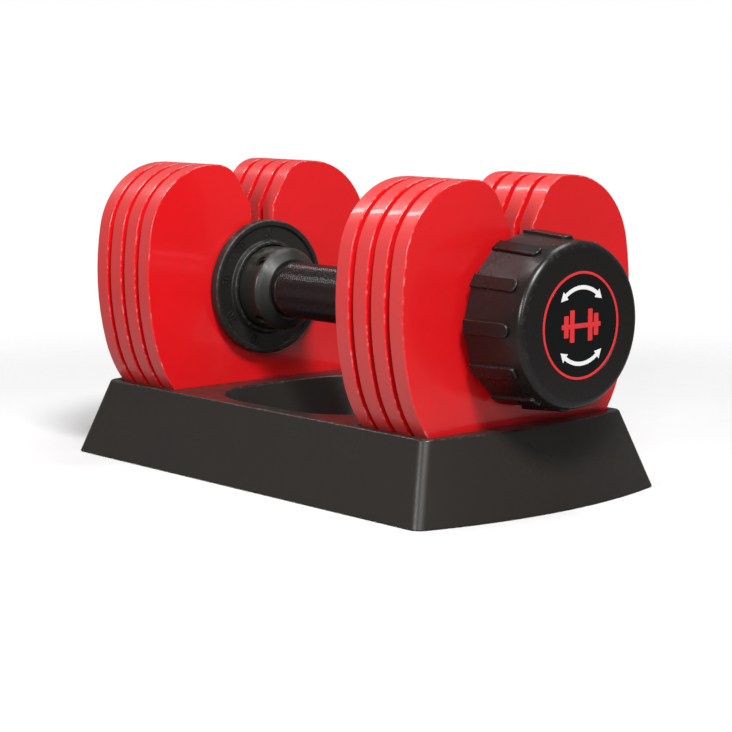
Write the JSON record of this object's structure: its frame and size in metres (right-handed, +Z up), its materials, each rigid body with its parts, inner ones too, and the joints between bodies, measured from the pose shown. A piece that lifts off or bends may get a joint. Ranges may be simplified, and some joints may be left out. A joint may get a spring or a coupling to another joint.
{
  "type": "adjustable dumbbell",
  "caption": "Dumbbell whose end knobs pick how many slotted plates the handle lifts, with the stand that holds the plates.",
  "frame": {"origin": "on the floor, under the middle of the stand", "axes": "+X along the handle, +Y across it, +Z up"},
  "size_m": [0.409, 0.2046, 0.1981],
  "materials": {
    "stand_plastic": "satin moulded",
    "foot_rubber": "matt",
    "core_steel": "turned",
    "grip_rubber": "knurled",
    "collar_plastic": "satin moulded",
    "bush_plastic": "machined",
    "bright_steel": "polished",
    "spring_steel": "oiled",
    "screw_steel": "black oxide",
    "disc_steel": "zinc plated",
    "cast_iron": "as cast",
    "knob_plastic": "satin moulded",
    "badge_black": "gloss",
    "badge_red": "gloss",
    "plate_enamel": "gloss enamel"
  },
  "bodies": {
    "stand": {"base_tray": "stand_plastic", "base_feet": "foot_rubber"},
    "handle": {"core_bar": "core_steel", "grip_sleeve": "grip_rubber", "boss_left": "collar_plastic", "boss_screws_left": "screw_steel", "bush_left": "bush_plastic", "detent_spring_left": "spring_steel", "boss_right": "collar_plastic", "boss_screws_right": "screw_steel", "bush_right": "bush_plastic", "detent_spring_right": "spring_steel"},
    "detent_left": {"detent_pin_left": "bright_steel"},
    "detent_right": {"detent_pin_right": "bright_steel"},
    "selector_left": {"selector_shaft_left": "core_steel", "retaining_ring_left": "spring_steel", "weight_dial_left": "collar_plastic", "selector_disc_left_1": "disc_steel", "selector_disc_left_2": "disc_steel", "selector_disc_left_3": "disc_steel", "selector_disc_left_4": "disc_steel", "knob_weight_left": "cast_iron", "knob_shell_left": "knob_plastic", "knob_bolt_left": "screw_steel", "badge_disc_left": "badge_black", "badge_ring_left": "badge_red"},
    "selector_right": {"selector_shaft_right": "core_steel", "retaining_ring_right": "spring_steel", "weight_dial_right": "collar_plastic", "selector_disc_right_1": "disc_steel", "selector_disc_right_2": "disc_steel", "selector_disc_right_3": "disc_steel", "selector_disc_right_4": "disc_steel", "knob_weight_right": "cast_iron", "knob_shell_right": "knob_plastic", "knob_bolt_right": "screw_steel", "badge_disc_right": "badge_black", "badge_ring_right": "badge_red"},
    "plate_left_1": {"plate_left_1": "plate_enamel", "lift_lug_left_1": "disc_steel"},
    "plate_left_2": {"plate_left_2": "plate_enamel", "lift_lug_left_2": "disc_steel"},
    "plate_left_3": {"plate_left_3": "plate_enamel", "lift_lug_left_3": "disc_steel"},
    "plate_left_4": {"plate_left_4": "plate_enamel", "lift_lug_left_4": "disc_steel"},
    "plate_right_1": {"plate_right_1": "plate_enamel", "lift_lug_right_1": "disc_steel"},
    "plate_right_2": {"plate_right_2": "plate_enamel", "lift_lug_right_2": "disc_steel"},
    "plate_right_3": {"plate_right_3": "plate_enamel", "lift_lug_right_3": "disc_steel"},
    "plate_right_4": {"plate_right_4": "plate_enamel", "lift_lug_right_4": "disc_steel"}
  },
  "joints": [
    {"name": "handle_lift", "type": "slide", "parent": "stand", "child": "handle", "axis": [0, 0, 1], "range_m": [0, 0.2]},
    {"name": "knob_turn_left", "type": "hinge", "parent": "handle", "child": "selector_left", "pos_m": [-0.18, 0, 0.1136], "axis": [-1, 0, 0], "range_deg": [0, 160]},
    {"name": "detent_press_left", "type": "slide", "parent": "handle", "child": "detent_left", "axis": [1, 0, 0], "range_m": [0, 0.0013], "stiffness_N_per_m": 300, "springref_m": -0.001, "deforming": ["detent_spring_left"]},
    {"name": "knob_turn_right", "type": "hinge", "parent": "handle", "child": "selector_right", "pos_m": [0.18, 0, 0.1136], "axis": [1, 0, 0], "range_deg": [0, 160]},
    {"name": "detent_press_right", "type": "slide", "parent": "handle", "child": "detent_right", "axis": [-1, 0, 0], "range_m": [0, 0.0013], "stiffness_N_per_m": 300, "springref_m": -0.001, "deforming": ["detent_spring_right"]},
    {"name": "plate_lift_left_1", "type": "slide", "parent": "stand", "child": "plate_left_1", "axis": [0, 0, 1], "range_m": [0, 0.2]},
    {"name": "plate_lift_left_2", "type": "slide", "parent": "stand", "child": "plate_left_2", "axis": [0, 0, 1], "range_m": [0, 0.2]},
    {"name": "plate_lift_left_3", "type": "slide", "parent": "stand", "child": "plate_left_3", "axis": [0, 0, 1], "range_m": [0, 0.2]},
    {"name": "plate_lift_left_4", "type": "slide", "parent": "stand", "child": "plate_left_4", "axis": [0, 0, 1], "range_m": [0, 0.2]},
    {"name": "plate_lift_right_1", "type": "slide", "parent": "stand", "child": "plate_right_1", "axis": [0, 0, 1], "range_m": [0, 0.2]},
    {"name": "plate_lift_right_2", "type": "slide", "parent": "stand", "child": "plate_right_2", "axis": [0, 0, 1], "range_m": [0, 0.2]},
    {"name": "plate_lift_right_3", "type": "slide", "parent": "stand", "child": "plate_right_3", "axis": [0, 0, 1], "range_m": [0, 0.2]},
    {"name": "plate_lift_right_4", "type": "slide", "parent": "stand", "child": "plate_right_4", "axis": [0, 0, 1], "range_m": [0, 0.2]}
  ],
  "couplings": [
    {"joint": "plate_lift_left_1", "follows": "handle_lift", "ratio": 1},
    {"joint": "plate_lift_left_2", "follows": "handle_lift", "ratio": 1},
    {"joint": "plate_lift_left_3", "follows": "handle_lift", "ratio": 1},
    {"joint": "plate_lift_left_4", "follows": "handle_lift", "ratio": 1},
    {"joint": "plate_lift_right_1", "follows": "handle_lift", "ratio": 1},
    {"joint": "plate_lift_right_2", "follows": "handle_lift", "ratio": 1},
    {"joint": "plate_lift_right_3", "follows": "handle_lift", "ratio": 1},
    {"joint": "plate_lift_right_4", "follows": "handle_lift", "ratio": 1}
  ]
}
